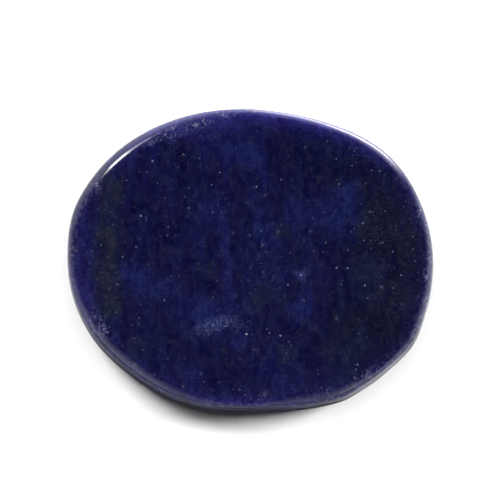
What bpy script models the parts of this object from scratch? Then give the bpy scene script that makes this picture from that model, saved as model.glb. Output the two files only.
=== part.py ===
"""A loose oval tablet of lapis lazuli, cut with a nearly flat top and a flat back, and polished all over.

The stone lies on its back with its long side along X. The origin is in the middle of the back, and
up is +Z. All sizes are in metres.
"""

import math

import bmesh
import bpy

# Size of the stone
LENGTH = 0.0180
WIDTH = 0.01495
HEIGHT = 0.0040

# Outline seen from above: an oval a little fuller than an ellipse, turned slightly on its axes
OVAL_HALF_LENGTH = 0.0090
OVAL_HALF_WIDTH = 0.00755
OVAL_FULLNESS = 2.07
OVAL_TURN = -6.4

# Where hand grinding left the outline fuller or flatter than the oval.
# Each is a direction in degrees, a rise of the outline and a half width in degrees.
OUTLINE_SWELLS = {
    "full upper right": (38, 0.00030, 20),
    "full left end": (165, 0.00009, 9.5),
    "flat at lower left": (222, -0.00005, 9),
    "flat front": (277, -0.00024, 19),
    "corner at front right": (304, 0.00007, 5),
    "full lower right": (333, 0.00013, 7),
}

# Rounded shoulder between the flat top and the side, with places where it is wider or tighter
SHOULDER_WIDTH = 0.00055
SHOULDER_SWELLS = {
    "crisp upper right": (60, -0.00016, 34),
    "soft upper left": (134, 0.00025, 24),
    "soft lower left": (222, 0.00022, 26),
    "crisp front": (270, -0.00022, 20),
    "soft front right": (304, 0.00020, 14),
}
SHOULDER_LEAST_DEPTH = 0.00010
SHOULDER_DEPTH_SHARE = 0.80

# The top is a very low crown. The side leans in a little above the widest line and turns under
# below it, towards the back.
CROWN_RISE = 0.00010
GIRDLE_HEIGHT = 0.00250
UPPER_LEAN = 0.00005
BELLY_WIDTH = 0.00120
BELLY_FULLNESS = 2.3

# How finely each stretch of the stone is divided
STEPS_AROUND = 144
BELLY_STEPS = 7
SHOULDER_STEPS = 7
TOP_STEPS = 4

# Deep blue of the polished stone
LAPIS_BLUE = (0.012, 0.014, 0.085, 1.0)
POLISH_ROUGHNESS = 0.15
SMOOTH_ANGLE = 35


def swell(direction, swells):
    """Adds up the soft bell-shaped swells at a direction in degrees."""
    total = 0.0
    for at, rise, half_width in swells.values():
        away = (direction - at + 180) % 360 - 180
        total += rise * math.exp(-((away / half_width) ** 2))
    return total


def oval_radius(direction):
    """Distance from the middle to the turned oval at a direction in degrees."""
    angle = math.radians(direction - OVAL_TURN)
    along = abs(math.cos(angle) / OVAL_HALF_LENGTH) ** OVAL_FULLNESS
    across = abs(math.sin(angle) / OVAL_HALF_WIDTH) ** OVAL_FULLNESS
    return (along + across) ** (-1 / OVAL_FULLNESS)


def outline():
    """The widest line of the stone, as (x, y, shoulder width) all round, fitted to LENGTH and WIDTH."""
    line = []
    for step in range(STEPS_AROUND):
        direction = 360 * step / STEPS_AROUND
        radius = oval_radius(direction) + swell(direction, OUTLINE_SWELLS)
        angle = math.radians(direction)
        shoulder = SHOULDER_WIDTH + swell(direction, SHOULDER_SWELLS)
        line.append((radius * math.cos(angle), radius * math.sin(angle), shoulder))
    xs = [x for x, y, shoulder in line]
    ys = [y for x, y, shoulder in line]
    middle_x = (max(xs) + min(xs)) / 2
    middle_y = (max(ys) + min(ys)) / 2
    stretch_x = LENGTH / (max(xs) - min(xs))
    stretch_y = WIDTH / (max(ys) - min(ys))
    return [((x - middle_x) * stretch_x, (y - middle_y) * stretch_y, shoulder) for x, y, shoulder in line]


def shoulder_depth(width):
    """How far a shoulder of this width comes down from the edge of the top."""
    return SHOULDER_LEAST_DEPTH + SHOULDER_DEPTH_SHARE * width


def levels():
    """Rings from the back up to the top, each a function of the shoulder width.

    A ring gives (share of the way in to the middle, inset from the outline, height), the last two in
    metres. The side turns under along a fuller quarter of an ellipse, the shoulder is a plain quarter
    of an ellipse, and the top is a shallow dome.
    """
    rings = []
    power = 2 / BELLY_FULLNESS
    for step in range(BELLY_STEPS + 1):
        angle = math.radians(90 * step / BELLY_STEPS)
        height = GIRDLE_HEIGHT * (1 - max(0.0, math.cos(angle)) ** power)
        inset = BELLY_WIDTH * (1 - math.sin(angle) ** power)
        rings.append(lambda shoulder, inset=inset, height=height: (0.0, inset, height))
    for step in range(SHOULDER_STEPS + 1):
        angle = math.radians(90 * step / SHOULDER_STEPS)
        across = 1 - math.cos(angle)
        below = 1 - math.sin(angle)
        rings.append(
            lambda shoulder, across=across, below=below: (
                0.0,
                UPPER_LEAN + shoulder * across,
                HEIGHT - CROWN_RISE - below * shoulder_depth(shoulder),
            )
        )
    for step in range(1, TOP_STEPS):
        inward = step / TOP_STEPS
        height = HEIGHT - CROWN_RISE * (1 - inward) ** 2
        rings.append(
            lambda shoulder, inward=inward, height=height: (inward, UPPER_LEAN + shoulder, height)
        )
    return rings


def add_ring(mesh, line, level):
    """One closed loop of vertices and edges that follows the outline at a level."""
    loop = []
    for x, y, shoulder in line:
        inward, inset, height = level(shoulder)
        radius = math.hypot(x, y)
        shrink = (radius - inset) / radius * (1 - inward)
        loop.append(mesh.verts.new((x * shrink, y * shrink, height)))
    return [mesh.edges.new((loop[k], loop[(k + 1) % len(loop)])) for k in range(len(loop))]


def stone_mesh():
    """Rings bridged one to the next, a flat face under the back and a low fan over the middle of the top."""
    mesh = bmesh.new()
    line = outline()
    loops = [add_ring(mesh, line, level) for level in levels()]
    for lower, upper in zip(loops, loops[1:]):
        bmesh.ops.bridge_loops(mesh, edges=lower + upper)
    bmesh.ops.contextual_create(mesh, geom=loops[0])
    lid = bmesh.ops.contextual_create(mesh, geom=loops[-1])["faces"]
    middle = bmesh.ops.poke(mesh, faces=lid)["verts"]
    middle[0].co = (0.0, 0.0, HEIGHT)
    bmesh.ops.recalc_face_normals(mesh, faces=mesh.faces)
    return mesh


def polished_lapis():
    """A plain deep blue with the soft gloss of polished lapis lazuli."""
    material = bpy.data.materials.new("polished lapis")
    material.use_nodes = True
    shader = material.node_tree.nodes["Principled BSDF"]
    shader.inputs["Base Color"].default_value = LAPIS_BLUE
    shader.inputs["Roughness"].default_value = POLISH_ROUGHNESS
    shader.inputs["Metallic"].default_value = 0.0
    return material


def build():
    """Clears the scene and makes the stone."""
    for old in list(bpy.data.objects):
        bpy.data.objects.remove(old)
    mesh = stone_mesh()
    data = bpy.data.meshes.new("stone")
    mesh.to_mesh(data)
    mesh.free()
    data.shade_smooth()
    data.set_sharp_from_angle(angle=math.radians(SMOOTH_ANGLE))
    data.materials.append(polished_lapis())
    stone = bpy.data.objects.new("stone", data)
    bpy.context.scene.collection.objects.link(stone)


build()
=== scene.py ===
"""A polished oval tablet of lapis lazuli on a white table, looked down on from the front."""

import math

import bpy
import numpy as np
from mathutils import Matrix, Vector


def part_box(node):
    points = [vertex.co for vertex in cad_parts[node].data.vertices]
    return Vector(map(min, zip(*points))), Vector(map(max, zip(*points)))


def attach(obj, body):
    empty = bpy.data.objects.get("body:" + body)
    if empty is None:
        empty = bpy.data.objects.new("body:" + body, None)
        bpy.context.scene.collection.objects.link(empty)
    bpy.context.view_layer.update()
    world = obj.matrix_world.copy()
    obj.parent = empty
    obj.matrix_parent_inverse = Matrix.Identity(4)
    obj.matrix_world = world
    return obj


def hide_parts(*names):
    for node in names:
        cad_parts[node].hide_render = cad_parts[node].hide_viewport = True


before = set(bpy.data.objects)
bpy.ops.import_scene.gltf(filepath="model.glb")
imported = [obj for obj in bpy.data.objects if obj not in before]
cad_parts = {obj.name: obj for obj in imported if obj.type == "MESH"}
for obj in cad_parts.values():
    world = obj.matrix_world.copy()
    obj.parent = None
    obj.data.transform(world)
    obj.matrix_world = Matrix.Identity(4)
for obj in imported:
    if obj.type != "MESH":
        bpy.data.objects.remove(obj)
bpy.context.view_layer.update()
scene = bpy.context.scene

# The camera
# A long lens stands high over the front of the stone. It looks a little past the middle, so the
# stone sits just below the centre of the picture.
MM = 0.001
CAMERA_HEIGHT_ANGLE = math.radians(81)
CAMERA_DISTANCE = 200 * MM
PICTURE_WIDTH_AT_STONE = 24.66 * MM
LOOK_AT = Vector((-0.015 * MM, 0.60 * MM, 2.0 * MM))
SENSOR_WIDTH = 36

lens = bpy.data.cameras.new("long lens")
lens.sensor_width = SENSOR_WIDTH
lens.lens = SENSOR_WIDTH * CAMERA_DISTANCE / PICTURE_WIDTH_AT_STONE
lens.clip_start = 5 * MM
lens.clip_end = 10
camera = bpy.data.objects.new("camera", lens)
towards_camera = Vector((0, -math.cos(CAMERA_HEIGHT_ANGLE), math.sin(CAMERA_HEIGHT_ANGLE)))
camera.location = LOOK_AT + towards_camera * CAMERA_DISTANCE
camera.rotation_euler = towards_camera.to_track_quat("Z", "Y").to_euler()
scene.collection.objects.link(camera)
scene.camera = camera
scene.view_settings.view_transform = "Standard"

# The table
# A plain matt white board, far wider than the stone, so that nothing but white lies round it.
TABLE_HALF_WIDTH = 1.0
TABLE_WHITE = (0.9, 0.9, 0.9, 1)
WHITE = (1, 1, 1, 1)

board = bpy.data.meshes.new("table")
board.from_pydata(
    [(x * TABLE_HALF_WIDTH, y * TABLE_HALF_WIDTH, 0) for x, y in ((-1, -1), (1, -1), (1, 1), (-1, 1))],
    [],
    [(0, 1, 2, 3)],
)
table = bpy.data.objects.new("table", board)
scene.collection.objects.link(table)

# How bright the table looks in the polish: bright at the sides, more so to the right, behind and far
# out at the back right, where the glare is, and dim in front, apart from a stretch at the front right.
# Close to the stone it is dimmer, more so short of the glare, and in front it is in shade there. A
# "from" or "to" is a share of the way to a side, and a reach is in half lengths and half widths.
SEEN_AT_SIDES = 1.3
SEEN_RIGHT_MORE = 1.0
SEEN_BEHIND_MORE = 1.2
SEEN_BACK_RIGHT_MORE = 8.5
SEEN_FRONT_RIGHT_MORE = 0.36
SEEN_NEAR = 0.48
SEEN_IN_SHADE = 0.04
SEEN_PAST_SHADE = 0.60
SHORT_OF_GLARE_LESS = 0.5
RIGHT_FROM = 0.4
BEHIND_FROM = 0.75
FRONT_FROM, FRONT_TO = -0.15, 0.82
SHADE_REACH = (1.08, 1.20)
NEAR_REACH = (1.12, 1.60)
GLARE_REACH = (1.55, 2.10)
STONE_HALF_SIZE = (9.0 * MM, 7.5 * MM)

# Each an azimuth in degrees and the cosine of how far it spreads
BACK_RIGHT = (64, 0.88)
FRONT_RIGHT = (317, 0.955)


def wire_up(tree):
    """Gives a function that adds a node to a tree: its settings, and for each socket a value or a link."""

    def add(kind, sockets=None, **settings):
        made = tree.nodes.new(kind)
        for name, value in settings.items():
            setattr(made, name, value)
        for socket, value in (sockets or {}).items():
            if isinstance(value, bpy.types.NodeSocket):
                tree.links.new(value, made.inputs[socket])
            else:
                made.inputs[socket].default_value = value
        return made

    return add


def smooth_step(add, value, low, high):
    """0 at low, 1 at high, and a smooth step between."""
    sockets = {0: value, 1: low, 2: high, 3: 0.0, 4: 1.0}
    return add("ShaderNodeMapRange", sockets, interpolation_type="SMOOTHSTEP").outputs[0]


def arithmetic(add, operation, a, b=0.0, c=0.0, clamp=False):
    """One arithmetic step."""
    return add("ShaderNodeMath", {0: a, 1: b, 2: c}, operation=operation, use_clamp=clamp).outputs[0]


def turned_to(add, way, azimuth, spread):
    """1 where a level direction is at the azimuth, and 0 from where the cosine of the angle is the spread."""
    around = math.radians(azimuth)
    aim = (math.cos(around), math.sin(around), 0)
    in_line = add("ShaderNodeVectorMath", {0: way, 1: aim}, operation="DOT_PRODUCT").outputs["Value"]
    return smooth_step(add, in_line, spread, 1.0)


matt_white = bpy.data.materials.new("matt white board")
matt_white.use_nodes = True
matt_white.node_tree.nodes.clear()
add = wire_up(matt_white.node_tree)
spot = add("ShaderNodeTexCoord").outputs["Object"]
bearing_way = add("ShaderNodeVectorMath", {0: spot}, operation="NORMALIZE").outputs[0]
bearing = add("ShaderNodeSeparateXYZ", {0: bearing_way})
to_right = smooth_step(add, bearing.outputs["X"], RIGHT_FROM, 1.0)
to_back = smooth_step(add, bearing.outputs["Y"], BEHIND_FROM, 1.0)
to_front = smooth_step(add, bearing.outputs["Y"], -FRONT_FROM, -FRONT_TO)
to_back_right = turned_to(add, bearing_way, *BACK_RIGHT)
to_front_right = turned_to(add, bearing_way, *FRONT_RIGHT)
in_halves = add("ShaderNodeVectorMath", {0: spot, 1: (*STONE_HALF_SIZE, 1)}, operation="DIVIDE").outputs[0]
far_out = add("ShaderNodeVectorMath", {0: in_halves}, operation="LENGTH").outputs["Value"]
glare = arithmetic(add, "MULTIPLY", to_back_right, smooth_step(add, far_out, *GLARE_REACH))
seen = SEEN_AT_SIDES
for share, more in (
    (to_right, SEEN_RIGHT_MORE),
    (to_back, SEEN_BEHIND_MORE),
    (glare, SEEN_BACK_RIGHT_MORE),
):
    seen = arithmetic(add, "MULTIPLY_ADD", share, more, seen)
past_near = smooth_step(add, far_out, *NEAR_REACH)
seen = arithmetic(add, "MULTIPLY", seen, arithmetic(add, "MULTIPLY_ADD", past_near, 1 - SEEN_NEAR, SEEN_NEAR))
short_of_glare = arithmetic(add, "SUBTRACT", to_back_right, glare)
dimmed = arithmetic(add, "MULTIPLY_ADD", short_of_glare, -SHORT_OF_GLARE_LESS, 1.0)
seen = arithmetic(add, "MULTIPLY", seen, dimmed)
past_shade = smooth_step(add, far_out, *SHADE_REACH)
in_front = add("ShaderNodeMix", {0: past_shade, 2: SEEN_IN_SHADE, 3: SEEN_PAST_SHADE}).outputs[0]
seen = add("ShaderNodeMix", {0: to_front, 2: seen, 3: in_front}).outputs[0]
seen = arithmetic(add, "MULTIPLY_ADD", to_front_right, SEEN_FRONT_RIGHT_MORE, seen)
in_polish = add("ShaderNodeEmission", {"Color": WHITE, "Strength": seen})
matt_coat = add("ShaderNodeBsdfDiffuse", {"Color": TABLE_WHITE})
table_ray = add("ShaderNodeLightPath")
table_coat = add(
    "ShaderNodeMixShader",
    {0: table_ray.outputs["Is Glossy Ray"], 1: matt_coat.outputs[0], 2: in_polish.outputs[0]},
)
add("ShaderNodeOutputMaterial", {"Surface": table_coat.outputs[0]})
board.materials.append(matt_white)

# Studio light
# Three soft lamps light the table from the right, the back left and overhead. They leave a short
# soft shadow under the front edge. Three panels behind the stone are only seen in its polish, as
# thin bright lines along the back edge.
LAMP_DISTANCE = 500 * MM

# Each an azimuth and an elevation in degrees, a width, a height and a power in watts
SOFT_LAMPS = {
    "right": (11, 40, 172 * MM, 236 * MM, 3.3),
    "back left": (139, 57.5, 179 * MM, 251 * MM, 2.45),
    "overhead": (89, 85, 255 * MM, 169 * MM, 0.8),
}
SHINE_PANELS = {
    "back right": (62, 4, 200 * MM, 60 * MM, 1.0),
    "back left": (125.5, 33, 54 * MM, 140 * MM, 0.74),
    "back left, tail": (119.5, 33.5, 50 * MM, 80 * MM, 0.10),
}


def hang_lamp(name, shape, azimuth, elevation, width, height, watts):
    """Hangs an area lamp at an azimuth and elevation in degrees, facing the stone."""
    lamp = bpy.data.lights.new(name, "AREA")
    lamp.shape = shape
    lamp.size = width
    lamp.size_y = height
    lamp.energy = watts
    hung = bpy.data.objects.new(name, lamp)
    around, up = math.radians(azimuth), math.radians(elevation)
    away = Vector((math.cos(up) * math.cos(around), math.cos(up) * math.sin(around), math.sin(up)))
    hung.location = away * LAMP_DISTANCE
    hung.rotation_euler = away.to_track_quat("Z", "Y").to_euler()
    scene.collection.objects.link(hung)
    return hung


for name, placing in SOFT_LAMPS.items():
    hang_lamp("soft lamp " + name, "ELLIPSE", *placing).visible_glossy = False
for name, placing in SHINE_PANELS.items():
    hang_lamp("shine panel " + name, "RECTANGLE", *placing).visible_diffuse = False

# The room
# The camera sees plain white. The polish sees a white surround, bright low down and dark overhead,
# and brighter towards some sides.
FILL_LIGHT = 0.03
BACKDROP_LIGHT = 1.0

# Each a height, as the sine of its angle, and a brightness
SURROUND_STEPS = (
    (0.0, 1.20),
    (0.14, 0.95),
    (0.28, 0.70),
    (0.50, 0.42),
    (0.67, 0.23),
    (0.81, 0.10),
    (0.89, 0.03),
    (0.94, 0.004),
)
SURROUND_TINT = (0.97, 0.95, 1.10, 1)

# Each an azimuth in degrees, the cosine of how far it spreads and how much more it is lit
LIT_SIDES = {
    "right": (8, 0.85, 1.5),
    "back right": (64, 0.91, 4.4),
    "back right, core": (56, 0.965, 6.0),
    "behind": (92, 0.90, 1.0),
    "back left": (124, 0.80, 0.9),
    "left front": (212, 0.80, 1.2),
    "right front": (312, 0.88, 1.7),
}

room = bpy.data.worlds.new("room")
room.use_nodes = True
scene.world = room
room.node_tree.nodes.clear()
add = wire_up(room.node_tree)
heading = add("ShaderNodeTexCoord").outputs["Generated"]
heading_parts = add("ShaderNodeSeparateXYZ", {0: heading})
surround = add("ShaderNodeValToRGB", {"Fac": heading_parts.outputs["Z"]})
steps = surround.color_ramp.elements
for level, brightness in SURROUND_STEPS:
    step = steps[0] if level == 0.0 else steps.new(level)
    step.position = level
    step.color = (brightness, brightness, brightness, 1)
steps[-1].color = steps[-2].color
level_way = add("ShaderNodeVectorMath", {0: heading, 1: (1, 1, 0)}, operation="MULTIPLY").outputs[0]
level_way = add("ShaderNodeVectorMath", {0: level_way}, operation="NORMALIZE").outputs[0]
side = 1.0
for azimuth, spread, more in LIT_SIDES.values():
    side = arithmetic(add, "MULTIPLY_ADD", turned_to(add, level_way, azimuth, spread), more, side)
seen = arithmetic(add, "MULTIPLY", surround.outputs["Color"], side)
in_polish = add("ShaderNodeBackground", {"Color": SURROUND_TINT, "Strength": seen})
fill = add("ShaderNodeBackground", {"Color": WHITE, "Strength": FILL_LIGHT})
backdrop = add("ShaderNodeBackground", {"Color": WHITE, "Strength": BACKDROP_LIGHT})
ray = add("ShaderNodeLightPath")
lit = add(
    "ShaderNodeMixShader",
    {0: ray.outputs["Is Glossy Ray"], 1: fill.outputs[0], 2: in_polish.outputs[0]},
)
shown = add(
    "ShaderNodeMixShader",
    {0: ray.outputs["Is Camera Ray"], 1: lit.outputs[0], 2: backdrop.outputs[0]},
)
add("ShaderNodeOutputWorld", {0: shown.outputs[0]})

# The stone
# One piece of lapis lazuli, sawn as a slab, ground by hand to an oval and polished all over. The
# back is flat, the belly turns under towards it, and a rounded shoulder leads up to a top that is
# almost flat.
stone_low, stone_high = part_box("stone")
LENGTH = stone_high.x - stone_low.x
WIDTH = stone_high.y - stone_low.y
HEIGHT = stone_high.z - stone_low.z

# The outline is an oval a little fuller than an ellipse. Hand grinding left it fuller or flatter
# in places, each a direction in degrees, a rise and a half width in degrees.
OVAL_HALF_LENGTH = 9.0 * MM
OVAL_HALF_WIDTH = 7.55 * MM
OVAL_FULLNESS = 2.07
OVAL_TURN = -6.4
OUTLINE_SWELLS = {
    "full upper right": (38, 0.30 * MM, 20),
    "full left end": (165, 0.09 * MM, 9.5),
    "flat at lower left": (222, -0.05 * MM, 9),
    "flat front": (277, -0.24 * MM, 19),
    "corner at front right": (304, 0.07 * MM, 5),
    "full lower right": (333, 0.13 * MM, 7),
}

# Above the widest line the side leans in a little, up to the shoulder. The shoulder is wider in some
# places and tighter in others, and flattens to a bevel in front.
GIRDLE_HEIGHT = 2.50 * MM
UPPER_LEAN = 0.05 * MM
SHOULDER_WIDTH = 0.50 * MM
SHOULDER_SWELLS = {
    "right": (5, -0.05 * MM, 30),
    "soft upper left": (135, 0.35 * MM, 24),
    "wide lower left": (212, 0.12 * MM, 16),
    "crisp front": (267, -0.34 * MM, 17),
    "wide front right": (299, 0.09 * MM, 10),
    "crisp lower right": (320, -0.24 * MM, 9),
}
SHOULDER_FULLNESS = 2.0
FULLNESS_SWELLS = {
    "bevel at lower left": (235, -0.55, 32),
    "bevel at front right": (290, -0.55, 28),
}
SHOULDER_LEAST_DEPTH = 0.10 * MM
SHOULDER_DEPTH_SHARE = 0.80
SHOULDER_TURN = math.radians(88.4)
CROWN_RISE = 0.10 * MM
BELLY_WIDTH = 1.20 * MM
BELLY_FULLNESS = 2.3

# Steps of the surface: round the stone, and on each stretch from the middle of the back to the
# middle of the top
STEPS_AROUND = 540
BACK_STEPS = 14
BELLY_STEPS = 26
WALL_STEPS = 7
SHOULDER_STEPS = 34
TOP_STEPS = 100


def swell(direction, swells):
    """The sum of soft bells: each its rise times e to the minus square of the way off in half widths."""
    total = np.zeros_like(direction)
    for at, rise, half_width in swells.values():
        away = (direction - at + 180) % 360 - 180
        total += rise * np.exp(-((away / half_width) ** 2))
    return total


def eased(share):
    """A smooth step: three times the share squared less twice its cube, with the share held to 0 to 1."""
    share = np.clip(share, 0, 1)
    return share * share * (3 - 2 * share)


def outline(direction):
    """The widest line of the stone: a superellipse radius plus swells, centred and stretched to size."""
    angle = np.radians(direction - OVAL_TURN)
    along = np.abs(np.cos(angle) / OVAL_HALF_LENGTH) ** OVAL_FULLNESS
    across = np.abs(np.sin(angle) / OVAL_HALF_WIDTH) ** OVAL_FULLNESS
    radius = (along + across) ** (-1 / OVAL_FULLNESS) + swell(direction, OUTLINE_SWELLS)
    x = radius * np.cos(np.radians(direction))
    y = radius * np.sin(np.radians(direction))
    x = (x - (x.max() + x.min()) / 2) * LENGTH / (x.max() - x.min())
    y = (y - (y.max() + y.min()) / 2) * WIDTH / (y.max() - y.min())
    return x, y


def side_profile(shoulder, fullness):
    """Share of the way in to the middle, inset and height, from the middle of the back to the top.

    Rows are levels and columns are directions. The back is flat. The belly is a quarter of a
    superellipse, up to the widest line, and a straight side leans in a little above it. The
    shoulder is a quarter of another, as wide and as full as its place says and a little less than
    a quarter, and the top is a parabola from there.
    """
    flat = np.ones_like(shoulder)
    edge_height = HEIGHT - CROWN_RISE
    wall_height = edge_height - SHOULDER_LEAST_DEPTH - SHOULDER_DEPTH_SHARE * shoulder

    back = np.linspace(1, 0, BACK_STEPS + 1)[1:-1, None]
    rows = [(back * flat, BELLY_WIDTH * flat + 0 * back, 0 * back * flat)]
    turn = np.radians(np.linspace(0, 90, BELLY_STEPS + 1))[:-1, None]
    belly_inset = BELLY_WIDTH * (1 - np.sin(turn) ** (2 / BELLY_FULLNESS))
    belly_height = GIRDLE_HEIGHT * (1 - np.cos(turn) ** (2 / BELLY_FULLNESS))
    rows.append((0 * turn * flat, belly_inset * flat, belly_height * flat))
    climb = np.linspace(0, 1, WALL_STEPS + 1)[:-1, None]
    wall_inset = UPPER_LEAN * eased(climb)
    rows.append((0 * climb * flat, wall_inset * flat, GIRDLE_HEIGHT + (wall_height - GIRDLE_HEIGHT) * climb))
    turn = np.linspace(0, SHOULDER_TURN, SHOULDER_STEPS + 1)[:, None]
    shoulder_inset = UPPER_LEAN + shoulder * (1 - np.cos(turn) ** (2 / fullness))
    shoulder_height = wall_height + (edge_height - wall_height) * np.sin(turn) ** (2 / fullness)
    rows.append((0 * turn * flat, shoulder_inset, shoulder_height))
    inward = np.linspace(0, 1, TOP_STEPS + 1)[1:-1, None]
    top_height = HEIGHT - (HEIGHT - shoulder_height[-1]) * (1 - inward) ** 2
    rows.append((inward * flat, shoulder_inset[-1] + 0 * inward, top_height))
    return [np.concatenate(column) for column in zip(*rows)]


def ripples(x, y, z, seed, lengths, count):
    """Sine waves along many random headings, over the root of their number.

    Their wavelengths lie between the two lengths.
    """
    pick = np.random.default_rng(seed)
    total = np.zeros_like(x)
    for _ in range(count):
        heading = pick.normal(size=3)
        heading /= np.linalg.norm(heading)
        length = pick.uniform(*lengths)
        phase = pick.uniform(0, 2 * math.pi)
        reach = heading[0] * x + heading[1] * y + heading[2] * z
        total += np.sin(2 * math.pi * reach / length + phase)
    return total / math.sqrt(count)


# Hand polishing leaves the surface very slightly wavy, which shows where it mirrors the lamps
WAVE_DEPTH = 0.0020 * MM
WAVE_LENGTHS = (1.1 * MM, 3.4 * MM)
WAVE_COUNT = 14
WAVE_SEED = 7


def stone_surface(direction, edge_x, edge_y):
    """Grid of points, levels by directions.

    The outline is shrunk towards the middle by each level's inset, and the waves sink it a little.
    """
    shoulder = SHOULDER_WIDTH + swell(direction, SHOULDER_SWELLS)
    fullness = SHOULDER_FULLNESS + swell(direction, FULLNESS_SWELLS)
    inward, inset, height = side_profile(shoulder, fullness)
    radius = np.hypot(edge_x, edge_y)
    shrink = (radius - inset) / radius * (1 - inward)
    x, y, z = edge_x * shrink, edge_y * shrink, height
    waves = math.sqrt(WAVE_COUNT) + ripples(x, y, z, WAVE_SEED, WAVE_LENGTHS, WAVE_COUNT)
    sink = WAVE_DEPTH * waves * (z > 0)
    return x * (1 - sink / radius), y * (1 - sink / radius), z - sink * (z / HEIGHT) ** 2


def grid_faces(levels, around):
    """Four-sided faces between neighbouring rings, and a fan round the middle point of each end."""
    lower, here = np.meshgrid(np.arange(levels - 1), np.arange(around), indexing="ij")
    beside = (here + 1) % around
    quads = np.stack([lower * around + here, lower * around + beside,
                      (lower + 1) * around + beside, (lower + 1) * around + here], -1)
    ring = np.arange(around)
    after = (ring + 1) % around
    back_middle, top_middle = levels * around, levels * around + 1
    last = (levels - 1) * around
    back_fan = np.stack([after, ring, np.full(around, back_middle)], -1)
    top_fan = np.stack([last + ring, last + after, np.full(around, top_middle)], -1)
    return quads.reshape(-1, 4).tolist() + back_fan.tolist() + top_fan.tolist()


directions = np.arange(STEPS_AROUND) * 360 / STEPS_AROUND
edge_x, edge_y = outline(directions)
x, y, z = stone_surface(directions, edge_x, edge_y)
points = np.stack([x, y, z], -1).reshape(-1, 3)
middles = [(0, 0, 0), (0, 0, z[-1].mean())]
body = bpy.data.meshes.new("lapis tablet")
body.from_pydata(np.concatenate([points, middles]).tolist(), [], grid_faces(*x.shape))
body.shade_smooth()
tablet = bpy.data.objects.new("lapis_tablet", body)
scene.collection.objects.link(tablet)

# Painted glow, for light that goes through the thin edge and comes out bluer, most along the back
EDGE_GLOW = 0.045
EDGE_GLOW_SWELLS = {
    "along the back": (80, 0.20, 42),
    "in front": (252, 0.035, 50),
    "upper left": (124, 0.13, 17),
    "left": (196, 0.04, 12),
}
EDGE_GLOW_REACH = 0.30 * MM
EDGE_GLOW_FADE = (2.1 * MM, 3.0 * MM)

# The rim is lighter and grainy, a painted sheen, and far less so down the side
RIM_SHEEN_REACH = 0.19 * MM
RIM_SHEEN_FADE = (2.7 * MM, 3.4 * MM)
SIDE_SHEEN_SHARE = 0.12


def near_edge(reach):
    """1 at the outline, falling by e to the minus the distance in from it over the reach."""
    inset = (np.hypot(edge_x, edge_y) - np.hypot(x, y)).clip(0)
    return np.exp(-inset / reach)


def above(low, high):
    """0 up to the low height, 1 from the high one up, and a smooth step between."""
    return eased((z - low) / (high - low))


def keep_on_mesh(name, values):
    """Stores one number for each point of the stone, the middles last, for the nodes to read."""
    layer = body.attributes.new(name, "FLOAT", "POINT")
    layer.data.foreach_set("value", np.append(values.ravel(), [values[0, 0], values[-1].mean()]))


glow = EDGE_GLOW + swell(np.degrees(np.arctan2(y, x)) % 360, EDGE_GLOW_SWELLS)
keep_on_mesh("edge_glow", glow * near_edge(EDGE_GLOW_REACH) * above(*EDGE_GLOW_FADE))
rim_sheen_by_height = SIDE_SHEEN_SHARE + (1 - SIDE_SHEEN_SHARE) * above(*RIM_SHEEN_FADE)
keep_on_mesh("grainy_rim_sheen", near_edge(RIM_SHEEN_REACH) * rim_sheen_by_height)

# Colours of the minerals, deep blue lazurite first, and of painted light at the edge
DEEP_BLUE = (0.0007, 0.0006, 0.0145, 1)
VIOLET_BLUE = (0.0019, 0.0012, 0.0190, 1)
BRIGHT_BLUE = (0.0036, 0.0062, 0.0500, 1)
RIM_BLUE = (0.0070, 0.0062, 0.0560, 1)
SLATE_BLUE = (0.0006, 0.0011, 0.0070, 1)
TEAL_BLUE = (0.0040, 0.0062, 0.0235, 1)
GREEN_GREY = (0.0058, 0.0078, 0.0150, 1)
CALCITE_BLUE = (0.0480, 0.0600, 0.1500, 1)
BLUE_DUST = (0.0155, 0.0165, 0.0340, 1)
PALE_FLECK = (0.0850, 0.0950, 0.1500, 1)
# White calcite, and painted sheen on the rim
FROST_AND_SHEEN = (0.1700, 0.1750, 0.2700, 1)
# Painted sheen on the rim, broken into grain
RIM_GRAIN_AND_SHEEN = (0.1000, 0.1000, 0.2300, 1)
GRAIN_COLOUR = (0.2400, 0.2500, 0.2900, 1)
# The colour of the painted glow
GLOW_COLOUR = (0.11, 0.085, 1.0)

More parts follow.
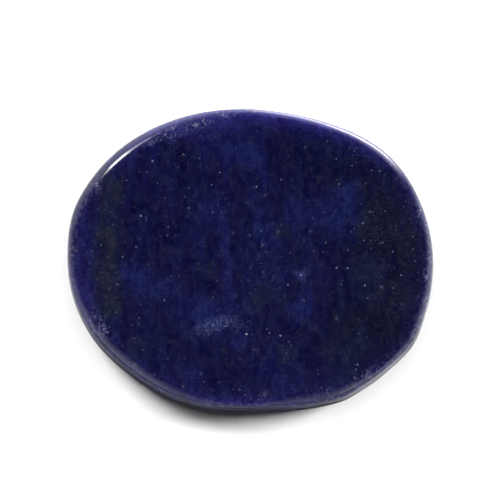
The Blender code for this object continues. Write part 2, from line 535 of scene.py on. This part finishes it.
# Where each mineral lies on the top, in millimetres from the middle. Each patch is a place, half
# lengths across and along, a turn in degrees and a strength.
BRIGHT_PATCHES = {
    "left": ((-5.1, -1.4), (1.30, 0.62), -25, 0.68),
    "left, upper corner": ((-5.9, -0.7), (0.40, 0.45), 0, 0.55),
    "top middle": ((-0.5, 5.15), (0.85, 0.42), -5, 0.80),
    "top middle, left wing": ((-1.75, 5.35), (0.65, 0.40), -10, 0.50),
    "top middle, tail": ((0.6, 4.4), (0.85, 0.25), -52, 0.55),
    "right middle": ((4.55, 2.0), (0.85, 1.00), 0, 0.75),
    "right middle, upper": ((4.9, 3.3), (0.40, 0.50), 0, 0.65),
    "right middle, streak": ((3.5, 2.2), (0.18, 0.80), 0, 0.55),
    "right middle, left field": ((2.6, 1.95), (0.60, 0.70), 0, 0.30),
    "cloud field": ((-1.8, -3.05), (1.40, 0.85), 8, 0.60),
    "cloud, upper left": ((-2.6, -2.45), (0.70, 0.45), 0, 0.60),
    "below the cloud": ((-0.5, -4.2), (0.40, 0.35), -20, 0.65),
    "lower middle": ((2.6, -2.55), (0.35, 0.65), -15, 0.80),
    "lower middle, left": ((1.95, -2.8), (0.25, 0.45), 0, 0.40),
    "long streak": ((-1.15, 0.1), (0.30, 1.90), 3, 0.50),
    "long streak, core": ((-1.02, 0.0), (0.09, 2.00), 3, 0.45),
    "violet streak": ((2.6, 0.4), (0.10, 1.60), -4, 0.25),
    "fine line": ((-0.1, 1.6), (0.07, 1.50), 2, 0.35),
    "long streak, head": ((-1.75, 2.15), (0.50, 0.28), -35, 0.40),
    "short streak": ((0.3, 2.05), (0.25, 1.00), 5, 0.50),
    "short streak, lower": ((0.6, 1.05), (0.25, 0.60), 15, 0.35),
    "left of the long streak": ((-2.3, 1.95), (0.40, 0.45), 0, 0.30),
    "middle field": ((1.0, -0.3), (0.85, 1.90), 0, 0.28),
    "bright spot": ((2.4, -0.85), (0.40, 0.30), -20, 0.75),
    "lower left": ((-3.05, -5.7), (0.55, 0.35), -15, 0.50),
    "bottom field": ((1.45, -5.55), (0.80, 1.10), 0, 0.30),
    "bottom field, spot": ((1.45, -6.2), (0.40, 0.30), 0, 0.30),
    "left end streak": ((-6.45, -3.15), (0.20, 0.65), 0, 0.45),
}
RIM_PATCHES = {
    "top edge": ((-1.85, 6.35), (1.80, 0.40), 8, 0.70),
    "left rim": ((-8.2, 0.2), (0.50, 2.60), 0, 0.42),
    "left rim, lower": ((-7.5, -2.7), (0.45, 1.00), 25, 0.40),
    "upper right rim": ((4.2, 6.1), (2.50, 0.30), -27, 0.35),
}
SLATE_PATCHES = {
    "right side": ((7.1, 0.3), (2.20, 4.80), 0, 1.20),
    "upper right": ((3.45, 4.5), (2.00, 1.10), -10, 0.50),
    "lower right": ((5.6, -4.1), (1.90, 2.00), 0, 0.85),
    "upper left": ((-3.6, 5.4), (0.80, 0.45), 0, 0.35),
}
TEAL_PATCHES = {
    "lower right": ((5.0, -4.9), (0.50, 1.30), -10, 0.80),
    "right field": ((5.7, -1.1), (0.80, 1.20), 0, 0.55),
}
GREEN_PATCHES = {
    "left band": ((-7.0, 0.05), (0.60, 2.40), 0, 1.00),
    "left band, upper": ((-6.9, 3.3), (0.55, 0.60), 0, 0.90),
    "left band, lower": ((-6.8, -2.4), (0.60, 0.80), 0, 0.70),
    "middle": ((1.45, 1.25), (0.40, 0.40), 0, 0.55),
    "left of centre": ((-1.9, -0.6), (0.25, 0.40), 0, 0.55),
    "below centre": ((0.65, -2.1), (0.50, 0.45), 0, 0.60),
    "below centre, right": ((1.7, -2.2), (0.35, 0.40), 0, 0.35),
    "lower right, upper": ((4.5, -3.0), (0.60, 0.45), 0, 0.15),
    "lower right, lower": ((4.05, -4.95), (0.40, 0.55), 0, 0.20),
    "lower middle": ((1.8, -4.65), (0.40, 0.40), 0, 0.40),
    "right end": ((7.45, 1.4), (0.80, 1.00), 0, 0.15),
    "right end, lower": ((7.35, -2.15), (0.80, 0.80), 0, 0.15),
    "lower left": ((-5.45, -4.5), (0.50, 0.40), 0, 0.50),
    "right of centre": ((5.95, 1.8), (0.50, 1.20), 0, 0.30),
}
CALCITE_PATCHES = {
    "cloud": ((-1.70, -3.25), (0.82, 0.30), 17, 1.30),
    "bright spot": ((2.45, -0.85), (0.30, 0.25), -20, 0.45),
    "top edge": ((1.3, 6.85), (0.45, 0.30), -10, 0.80),
    "top edge, left": ((-1.9, 6.75), (0.90, 0.25), 12, 0.60),
    "upper left edge": ((-3.6, 6.15), (0.80, 0.25), 22, 0.60),
    "right rim": ((8.4, 2.1), (0.20, 0.45), 10, 0.50),
}

# Where pale flecks are thick
FLECK_PATCHES = {
    "left band": ((-7.1, -0.8), (0.60, 0.60), 0, 0.80),
    "left band, lower": ((-6.7, -1.9), (0.60, 0.60), 0, 0.60),
    "left edge": ((-8.0, -0.2), (0.30, 0.70), 0, 0.60),
    "upper left end": ((-7.7, 3.3), (0.50, 0.50), 0, 1.00),
    "upper left band": ((-7.1, 2.0), (0.70, 1.20), 0, 0.40),
    "cloud": ((-1.7, -3.3), (0.80, 0.40), 10, 0.70),
    "right of the cloud": ((-0.3, -3.5), (0.45, 0.50), 0, 0.80),
    "right of centre": ((2.45, -0.7), (0.50, 0.50), 0, 0.90),
    "middle": ((0.75, -0.9), (0.50, 0.50), 0, 0.60),
    "left of the middle": ((-4.3, 0.1), (0.70, 0.40), 0, 0.40),
    "above the middle": ((-1.7, 2.3), (0.50, 0.40), 0, 0.45),
    "upper left": ((-3.4, 5.2), (0.90, 0.60), 0, 0.35),
    "right column": ((6.6, 2.0), (0.60, 2.20), 0, 0.55),
    "right column, lower": ((6.7, -1.7), (0.60, 1.00), 0, 0.40),
    "lower right": ((7.3, -3.1), (0.70, 0.80), 0, 0.60),
    "low front": ((0.6, -6.9), (0.35, 0.50), 0, 0.80),
    "low front right": ((2.9, -6.9), (0.45, 0.40), 0, 0.80),
    "lower left": ((-4.3, -4.2), (0.90, 0.50), 0, 0.30),
    "right end": ((8.0, 0.8), (0.50, 2.40), 0, 0.50),
    "low middle": ((1.4, -3.9), (1.20, 0.40), 0, 0.30),
    "band, left": ((-2.35, -7.05), (0.30, 0.22), 0, 1.10),
    "band, further right": ((3.9, -6.75), (0.45, 0.25), 25, 1.20),
    "band, lower left": ((-5.6, -5.5), (0.40, 0.35), -35, 1.10),
    "lower left end": ((-7.5, -3.4), (0.45, 0.70), 20, 1.10),
    "back edge": ((-1.5, 6.55), (2.80, 0.32), 8, 0.45),
    "back right edge": ((4.6, 5.95), (2.60, 0.28), -30, 0.60),
}

# Where the edge is white: calcite at the left ends, and a painted sheen in clumps elsewhere on the rim
FROST_AND_SHEEN_PATCHES = {
    "upper left end": ((-7.75, 3.45), (0.26, 0.38), -30, 1.00),
    "lower left end": ((-7.55, -3.35), (0.35, 0.55), 20, 0.60),
    "lower left end, inner": ((-7.0, -3.7), (0.35, 0.25), 0, 0.60),
    "left edge": ((-8.75, -0.3), (0.18, 2.20), 0, 0.35),
    "upper left edge": ((-8.5, 1.9), (0.18, 0.90), -15, 0.35),
    "right edge": ((8.65, 1.2), (0.15, 1.30), 5, 0.50),
    "right edge, one": ((7.05, 4.75), (0.30, 0.16), -50, 1.00),
    "right edge, two": ((7.78, 3.60), (0.15, 0.35), 22, 1.00),
    "right edge, three": ((8.40, 2.40), (0.16, 0.30), 12, 1.20),
    "right edge, four": ((8.70, -0.60), (0.12, 0.80), 0, 0.60),
    "lower right edge": ((8.2, -3.0), (0.18, 1.30), -25, 0.35),
    "front right edge": ((5.8, -6.0), (0.90, 0.20), 35, 0.40),
    "back edge, one": ((-4.30, 6.05), (0.70, 0.22), 33, 0.80),
    "back edge, two": ((-2.70, 6.75), (0.60, 0.18), 18, 0.80),
    "back edge, three": ((-0.90, 7.05), (0.80, 0.14), 6, 0.80),
    "back edge, four": ((0.50, 7.10), (0.70, 0.12), -2, 0.70),
    "back right edge": ((1.5, 7.2), (0.60, 0.20), -8, 0.50),
    "band, front": ((0.60, -7.05), (0.30, 0.18), 0, 0.25),
    "band, front, left": ((-2.35, -7.10), (0.16, 0.14), 0, 0.20),
    "band, front right": ((2.82, -7.10), (0.24, 0.16), 0, 0.25),
    "band, further right": ((3.90, -6.90), (0.28, 0.16), 20, 0.25),
    "band, lower left": ((-5.60, -5.60), (0.24, 0.20), -35, 0.30),
}

# How patches fade: a half length in depth, where a bell starts and is full, in half lengths, and how
# their sum levels off
PATCH_HALF_DEPTH = 2.6 * MM
PATCH_OUTER = 1.8
PATCH_INNER = 0.1
PATCH_MOST = 1.15
PATCH_RISE = 1.1

# Patches have wandering edges: each point looks up its patch a little way off, by slow and quick
# ripples. Each is a reach, least and greatest wavelengths and a seed.
SLOW_WANDER = (0.14 * MM, (1.6 * MM, 5.0 * MM), 21)
QUICK_WANDER = (0.10 * MM, (0.5 * MM, 1.4 * MM), 31)
WANDER_COUNT = 16

wandered = []
for axis, along in enumerate((x, y)):
    for reach, lengths, seed in (SLOW_WANDER, QUICK_WANDER):
        along = along + reach * ripples(x, y, z, seed + axis, lengths, WANDER_COUNT)
    wandered.append(along)


def patch_mask(patches):
    """Sum over patches of strength times a bell of the distance in half lengths.

    It levels off: the most times 1 less e to the minus the rise times the sum.
    """
    total = np.zeros_like(x)
    deep = (HEIGHT - z) / PATCH_HALF_DEPTH
    for (px, py), (across, along), turn, strength in patches.values():
        angle = math.radians(turn)
        east, north = wandered[0] / MM - px, wandered[1] / MM - py
        u = (east * math.cos(angle) + north * math.sin(angle)) / across
        v = (north * math.cos(angle) - east * math.sin(angle)) / along
        away = np.sqrt(u * u + v * v + deep * deep)
        total += strength * eased((PATCH_OUTER - away) / (PATCH_OUTER - PATCH_INNER))
    return PATCH_MOST * (1 - np.exp(-PATCH_RISE * total))


for name, patches in (
    ("slate", SLATE_PATCHES),
    ("bright", BRIGHT_PATCHES),
    ("teal", TEAL_PATCHES),
    ("rim_blue", RIM_PATCHES),
    ("green", GREEN_PATCHES),
    ("calcite", CALCITE_PATCHES),
    ("flecks", FLECK_PATCHES),
    ("frost_and_sheen", FROST_AND_SHEEN_PATCHES),
):
    keep_on_mesh(name, patch_mask(patches))

# Bright grains set in the polish: a place and a size in millimetres, and a brightness, for each that
# stands out
BRIGHT_GRAINS = {
    "lower left": ((-5.42, -3.06), 0.055, 1.0),
    "right": ((7.44, 0.92), 0.055, 1.0),
    "lower right": ((6.04, -4.03), 0.060, 1.0),
    "cloud, right": ((-0.19, -3.86), 0.075, 0.9),
    "lower middle": ((1.47, -3.93), 0.060, 0.9),
    "upper right, one": ((5.73, 4.04), 0.060, 1.0),
    "top edge": ((0.47, 6.39), 0.065, 0.8),
    "top": ((2.43, 5.90), 0.065, 0.8),
    "upper left, one": ((-4.79, 4.71), 0.100, 0.9),
    "upper left, two": ((-5.09, 5.23), 0.075, 0.9),
    "upper left, three": ((-4.54, 3.62), 0.060, 0.8),
    "middle": ((0.59, 0.52), 0.060, 0.8),
    "middle, upper": ((0.30, 3.42), 0.055, 0.8),
    "left, upper": ((-5.35, 1.98), 0.070, 0.8),
    "left": ((-5.57, 0.45), 0.060, 0.6),
    "left band, one": ((-7.84, -0.32), 0.070, 0.9),
    "left band, two": ((-7.82, -1.70), 0.060, 0.8),
    "left band, three": ((-6.62, -2.05), 0.060, 0.8),
    "upper middle, one": ((-3.05, 4.51), 0.050, 0.6),
    "upper middle, two": ((-1.51, 4.14), 0.050, 0.6),
    "upper middle, three": ((-1.90, 3.52), 0.045, 0.5),
    "upper right, two": ((5.26, 4.46), 0.055, 0.6),
    "right of centre, one": ((2.47, -0.96), 0.060, 0.6),
    "right of centre, two": ((1.84, -1.43), 0.055, 0.5),
    "right of centre, three": ((4.21, -0.59), 0.055, 0.6),
    "right, lower": ((5.58, -1.45), 0.060, 0.6),
    "right end, lower": ((7.98, -2.47), 0.060, 0.8),
    "right end, low": ((7.44, -3.63), 0.055, 0.7),
    "right end": ((8.64, 0.95), 0.055, 0.8),
    "low front": ((2.82, -5.62), 0.055, 0.7),
}

lapis = bpy.data.materials.new("polished lapis")
lapis.use_nodes = True
lapis.node_tree.nodes.clear()
shade = wire_up(lapis.node_tree)


def math_of(operation, a, b=0.0, c=0.0, clamp=False):
    """One arithmetic step in this material."""
    return arithmetic(shade, operation, a, b, c, clamp)


def blend_of(share, a, b):
    """Colour a, on socket 6, where the share is 0 and colour b, on socket 7, where it is 1."""
    return shade("ShaderNodeMix", {0: share, 6: a, 7: b}, data_type="RGBA").outputs[2]


def step_of(value, low, high):
    """0 at low, 1 at high, and a smooth step between."""
    return smooth_step(shade, value, low, high)


def share_of(value, low, high, rise, floor=0.0):
    """The floor, plus the rise times a smooth step from low to high."""
    return math_of("MULTIPLY_ADD", step_of(value, low, high), rise, floor)


def noise_of(place, cells, detail=3, roughness=0.6, output="Fac"):
    """Cloudy noise with that many cells to the millimetre."""
    sockets = {"Vector": place, "Scale": cells, "Detail": detail, "Roughness": roughness}
    return shade("ShaderNodeTexNoise", sockets).outputs[output]


def scaled(place, factors):
    """The place stretched along each axis."""
    return shade("ShaderNodeVectorMath", {0: place, 1: factors}, operation="MULTIPLY").outputs[0]


def kept(name):
    """A number kept on the mesh."""
    return shade("ShaderNodeAttribute", attribute_name=name).outputs["Fac"]


# Places in millimetres
where = shade("ShaderNodeTexCoord").outputs["Object"]
place = scaled(where, (1 / MM, 1 / MM, 1 / MM))

# Cloudy noises: cells to the millimetre along each axis, detail and roughness. Fewer cells from front
# to back draw a noise out into upright streaks.
MASSES = ((0.55, 0.30, 0.5), 4, 0.6)
STREAKS = ((1.9, 0.28, 1.2), 3, 0.6)
MOTTLE = ((2.0, 1.3, 2.0), 4, 0.6)
DUST = ((3.4, 2.4, 3.2), 6, 0.85)
GRAIN = ((11.0, 9.0, 10.0), 3, 0.8)
THREADS = ((4.6, 0.7, 3.6), 3, 0.6)
CLUMPS = ((5.0, 4.2, 4.6), 3, 0.6)

# What is made of a noise: the two levels of a smooth step, what it adds and what is there without it
VIOLET_STEP = (0.38, 0.62)
BRIGHT_STREAKS = (0.42, 0.76, 0.42)
BRIGHT_MOTTLE = (0.46, 0.86, 0.36)
BRIGHT_THREADS = (0.48, 0.78, 0.34)
UNEVEN_DUST = (0.32, 0.68, 0.85, 0.15)
UNEVEN_MOTTLE = (0.25, 0.75, 0.8)
CLOUD_SPECKS = (0.51, 0.66, 1.35, 0.10)
GLOW_DUST = (0.35, 0.65, 1.1, 0.45)
CRUMBS = (0.56, 0.70, 0.35)
CLUMP_STEP = (0.47, 0.60)
RIM_SHEEN_GRAIN = (0.40, 0.66, 1.1)
FROST_AND_SHEEN_GRAIN = (0.44, 0.62, 0.90, 0.10)
PALE_DUST_FROM = 0.44
PALE_DUST_RISE = 1.5
SHADOW_GRAIN = 0.7
SHADOW_FLOOR = 0.10


def stretched_noise(cells, detail, roughness):
    """Cloudy noise with its own number of cells to the millimetre along each axis."""
    return noise_of(scaled(place, cells), 1.0, detail, roughness)


# The blue: violet and deep blue in cloudy masses, with brighter streaks, mottle and threads
masses = stretched_noise(*MASSES)
streaks = stretched_noise(*STREAKS)
mottle = stretched_noise(*MOTTLE)
dust = stretched_noise(*DUST)
grain = stretched_noise(*GRAIN)
threads = stretched_noise(*THREADS)
colour = blend_of(step_of(masses, *VIOLET_STEP), DEEP_BLUE, VIOLET_BLUE)
for noise, brightening in (
    (streaks, BRIGHT_STREAKS),
    (mottle, BRIGHT_MOTTLE),
    (threads, BRIGHT_THREADS),
):
    colour = blend_of(share_of(noise, *brightening), colour, BRIGHT_BLUE)

# The patches, each a little uneven, then a pale dust and dark hollows over all
uneven = share_of(dust, *UNEVEN_DUST)
uneven = share_of(mottle, *UNEVEN_MOTTLE, uneven)
for mineral, patches in (
    (SLATE_BLUE, "slate"),
    (BRIGHT_BLUE, "bright"),
    (TEAL_BLUE, "teal"),
    (RIM_BLUE, "rim_blue"),
    (GREEN_GREY, "green"),
):
    share = math_of("MULTIPLY", kept(patches), uneven, clamp=True)
    colour = blend_of(share, colour, mineral)
calcite = math_of("MULTIPLY", kept("calcite"), share_of(grain, *CLOUD_SPECKS), clamp=True)
colour = blend_of(calcite, colour, CALCITE_BLUE)
pale_dust = math_of("SUBTRACT", dust, PALE_DUST_FROM, clamp=True)
colour = blend_of(math_of("MULTIPLY", pale_dust, PALE_DUST_RISE), colour, BLUE_DUST)
shadows = math_of("ADD", dust, math_of("MULTIPLY_ADD", grain, SHADOW_GRAIN, SHADOW_FLOOR))
colour = shade("ShaderNodeVectorMath", {0: colour, "Scale": shadows}, operation="SCALE").outputs[0]

# Painted glow out of the thin edge, added to the colour
glow_share = math_of("MULTIPLY", kept("edge_glow"), share_of(dust, *GLOW_DUST))
glow_light = shade("ShaderNodeVectorMath", {0: GLOW_COLOUR, "Scale": glow_share}, operation="SCALE")
colour = shade("ShaderNodeVectorMath", {0: colour, 1: glow_light.outputs[0]}, operation="ADD").outputs[0]

# Flecks of calcite and grains of pyrite, thicker in some places than in others. A push is cells to the
# millimetre and a reach in millimetres. Flecks are cells to the millimetre, least and most size in
# millimetres, and how rare they are, in most places and where they are thick. A share is how bright
# they show, and a core is the full middle of a fleck or grain as a share of its size.
FINE_PUSH = (9.0, 0.05)
WIDE_PUSH = (0.6, 0.5)
NOISE_MIDDLE = (0.5, 0.5, 0.5)
COARSE_FLECKS = (2.6, 0.05, 0.13, 7.0, 1.8)
COARSE_SHARE = 0.24
FINE_FLECKS = (5.0, 0.030, 0.070, 12.0, 2.0)
FINE_SHARE = 0.95
RIM_SHEEN_FLECKS = 0.6
FLECK_CORE = 0.15
GRAIN_CORE = 0.1
GRAIN_DEPTH = 0.03


def pushed(place, cells, reach):
    """The place moved by cloudy noise, up to half the reach each way along each axis."""
    cloud = noise_of(place, cells, output="Color")
    off = shade("ShaderNodeVectorMath", {0: cloud, 1: NOISE_MIDDLE}, operation="SUBTRACT").outputs[0]
    moved = {0: off, 1: (reach, reach, reach), 2: place}
    return shade("ShaderNodeVectorMath", moved, operation="MULTIPLY_ADD").outputs[0]


fine_push = pushed(place, *FINE_PUSH)
fleck_place = pushed(fine_push, *WIDE_PUSH)
# Flecks are thicker along the rim too, where they add to its painted sheen
near_rim_sheen = math_of("MULTIPLY", kept("grainy_rim_sheen"), RIM_SHEEN_FLECKS)
thick = math_of("MINIMUM", math_of("MAXIMUM", kept("flecks"), near_rim_sheen), 1.0)


def flecks_of(cells, least, most, rarity, thick_rarity):
    """Soft round flecks, at most one to a cell, each with its own size and brightness.

    Brightness is a random share to a power, which is lower where flecks are thick.
    """
    spots = shade("ShaderNodeTexVoronoi", {"Vector": fleck_place, "Scale": cells}, feature="F1")
    pick = shade("ShaderNodeSeparateColor", {0: spots.outputs["Color"]})
    size = math_of("MULTIPLY_ADD", pick.outputs[0], (most - least) * cells, least * cells)
    near = step_of(math_of("DIVIDE", spots.outputs["Distance"], size), 1.0, FLECK_CORE)
    power = math_of("MULTIPLY_ADD", thick, thick_rarity - rarity, rarity)
    return math_of("MULTIPLY", near, math_of("POWER", pick.outputs[1], power))


coarse_flecks = math_of("MULTIPLY", flecks_of(*COARSE_FLECKS), COARSE_SHARE)
fine_flecks = math_of("MULTIPLY", flecks_of(*FINE_FLECKS), FINE_SHARE)
flecks = math_of("MAXIMUM", coarse_flecks, fine_flecks)
crumbs = math_of("MULTIPLY", kept("flecks"), share_of(grain, *CRUMBS), clamp=True)
colour = blend_of(math_of("MAXIMUM", flecks, crumbs), colour, PALE_FLECK)
clumps = step_of(stretched_noise(*CLUMPS), *CLUMP_STEP)
# Painted sheen along the rim, broken into grain and clumps
rim_grain_and_sheen = math_of("MULTIPLY", share_of(grain, *RIM_SHEEN_GRAIN), clumps)
rim_grain_and_sheen = math_of("MULTIPLY", kept("grainy_rim_sheen"), rim_grain_and_sheen, clamp=True)
colour = blend_of(rim_grain_and_sheen, colour, RIM_GRAIN_AND_SHEEN)
# White calcite at the edge and painted sheen along the rim, in clumps of grain
clumped_frost_and_sheen = math_of("MULTIPLY", clumps, share_of(grain, *FROST_AND_SHEEN_GRAIN))
frost_and_sheen = math_of("MULTIPLY", kept("frost_and_sheen"), clumped_frost_and_sheen, clamp=True)
colour = blend_of(frost_and_sheen, colour, FROST_AND_SHEEN)

grains = 0.0
for (gx, gy), size, brightness in BRIGHT_GRAINS.values():
    middle = (gx, gy, HEIGHT / MM - GRAIN_DEPTH)
    away = shade("ShaderNodeVectorMath", {0: fine_push, 1: middle}, operation="DISTANCE").outputs["Value"]
    near = math_of("MULTIPLY", step_of(away, size, size * GRAIN_CORE), brightness)
    grains = math_of("MAXIMUM", grains, near)
colour = blend_of(grains, colour, GRAIN_COLOUR)

# The polish, with faint waves and a fainter grain. The waves are cells to the millimetre, detail and
# roughness, and a bump is a strength and a depth.
POLISH_ROUGHNESS = 0.12
POLISH_IOR = 1.5
POLISH_WAVES = (1.7, 1, 0.5)
GRAIN_BUMP = (0.25, 0.002 * MM)
WAVES_BUMP = (1.0, 0.005 * MM)


def bump_of(height, strength, depth, **under):
    """A bump from a height, over the bump that is given as Normal, if one is."""
    sockets = {"Height": height, "Strength": strength, "Distance": depth, **under}
    return shade("ShaderNodeBump", sockets).outputs[0]


bump = bump_of(grain, *GRAIN_BUMP)
bump = bump_of(noise_of(place, *POLISH_WAVES), *WAVES_BUMP, Normal=bump)
shader = shade(
    "ShaderNodeBsdfPrincipled",
    {"Base Color": colour, "Roughness": POLISH_ROUGHNESS, "IOR": POLISH_IOR, "Normal": bump},
)
shade("ShaderNodeOutputMaterial", {"Surface": shader.outputs[0]})
body.materials.append(lapis)

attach(tablet, "root")
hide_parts("stone")
